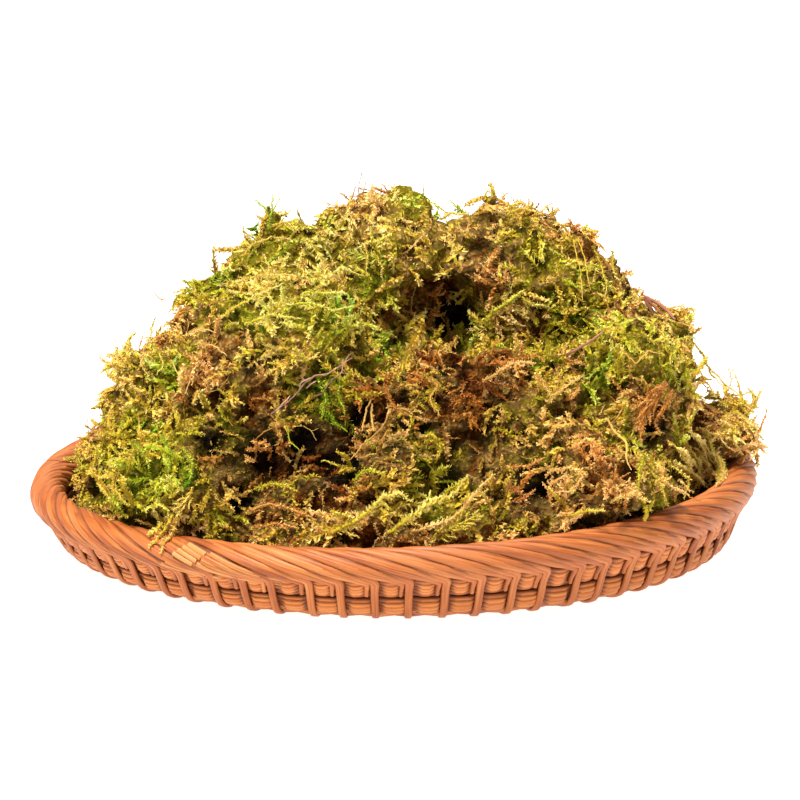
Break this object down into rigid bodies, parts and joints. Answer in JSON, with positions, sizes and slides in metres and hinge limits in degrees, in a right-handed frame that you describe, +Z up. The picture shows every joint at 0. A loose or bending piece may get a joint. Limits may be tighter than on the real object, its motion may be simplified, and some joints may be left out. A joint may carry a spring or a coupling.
{
  "type": "moss clump",
  "caption": "Loose heap of dried and living moss on a low round wicker tray with a rope-laid cane border; stands on its flat woven base.",
  "frame": {"origin": "middle of the tray's underside, on the table", "axes": "+Z up, -Y towards the front that the picture shows, +X to its right"},
  "size_m": [0.2995, 0.2996, 0.1426],
  "materials": {
    "border_cane": "peeled willow cane, waxed orange-tan",
    "weaver_cane": "thin split willow cane, orange-tan",
    "base_cane": "woven willow cane, orange-tan",
    "moss": "feathery dried moss, yellow-green to brown",
    "dark_twig": "dry purple-brown twig",
    "red_stick": "dry reddish stick",
    "bark": "dry dark bark"
  },
  "bodies": {
    "root": {"border_and_stakes": "border_cane", "upper_weaver": "weaver_cane", "lower_weaver": "weaver_cane", "woven_base": "base_cane", "moss_clump": "moss", "forked_twig": "dark_twig", "thin_stick": "red_stick", "bark_strip": "bark"}
  },
  "joints": []
}
